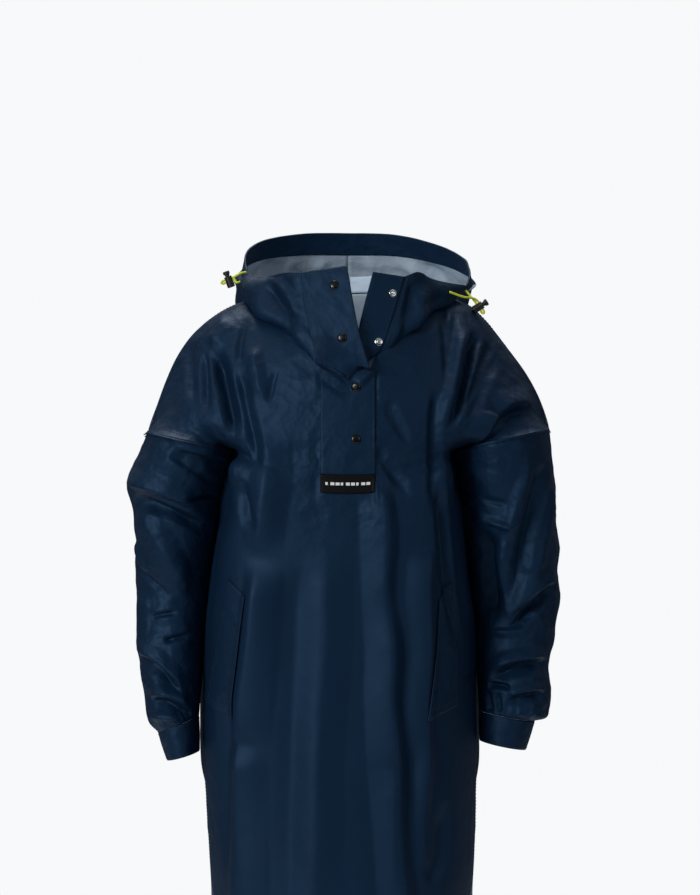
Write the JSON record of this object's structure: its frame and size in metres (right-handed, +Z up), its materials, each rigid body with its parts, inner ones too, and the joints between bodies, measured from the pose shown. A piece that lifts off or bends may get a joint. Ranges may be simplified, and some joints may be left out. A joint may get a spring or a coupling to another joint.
{
  "type": "kids raincoat",
  "caption": "Child's pullover rain smock in thin coated nylon with a snap placket, stand collar, laid-back hood and side pockets, in its worn form.",
  "frame": {"origin": "between the shoulders at neck height, where a wearer carries the garment", "axes": "+Z up, the front faces -Y, +X is the wearer's left"},
  "size_m": [0.4224, 0.2792, 0.8154],
  "materials": {
    "coated_nylon": "crisp coated nylon, semi-gloss",
    "black_lacquer": "gloss lacquer",
    "black_label": "matt woven",
    "black_plastic": "moulded, matt",
    "nickel_snap": "bright nickel",
    "yellow_cord": "round braided elastic cord"
  },
  "bodies": {
    "smock": {"body_front": "coated_nylon", "body_back": "coated_nylon", "sleeve_right": "coated_nylon", "sleeve_left": "coated_nylon", "cuff_right": "coated_nylon", "cuff_left": "coated_nylon", "placket_flap": "coated_nylon", "placket_underlap": "coated_nylon", "collar_right": "coated_nylon", "collar_left": "coated_nylon", "hood_brim": "coated_nylon", "hood_right": "coated_nylon", "hood_left": "coated_nylon", "pocket_welt_right": "coated_nylon", "pocket_welt_left": "coated_nylon", "label_patch": "black_label", "snap_cap_1": "black_lacquer", "snap_cap_2": "black_lacquer", "snap_cap_3": "black_lacquer", "snap_cap_4": "black_lacquer", "cord_lock_barrel_right": "black_plastic", "cord_lock_barrel_left": "black_plastic", "snap_stud_1": "nickel_snap", "snap_stud_2": "nickel_snap", "drawcord_right": "yellow_cord", "drawcord_left": "yellow_cord"},
    "plunger_right": {"cord_lock_plunger_right": "black_plastic"},
    "plunger_left": {"cord_lock_plunger_left": "black_plastic"}
  },
  "joints": [
    {"name": "right_lock_button", "type": "slide", "parent": "smock", "child": "plunger_right", "axis": [0.3506, 0, -0.9365], "range_m": [0, 0.002], "stiffness_N_per_m": 300, "springref_m": -0.002},
    {"name": "left_lock_button", "type": "slide", "parent": "smock", "child": "plunger_left", "axis": [-0.852, 0.0501, -0.5212], "range_m": [0, 0.002], "stiffness_N_per_m": 300, "springref_m": -0.002}
  ]
}
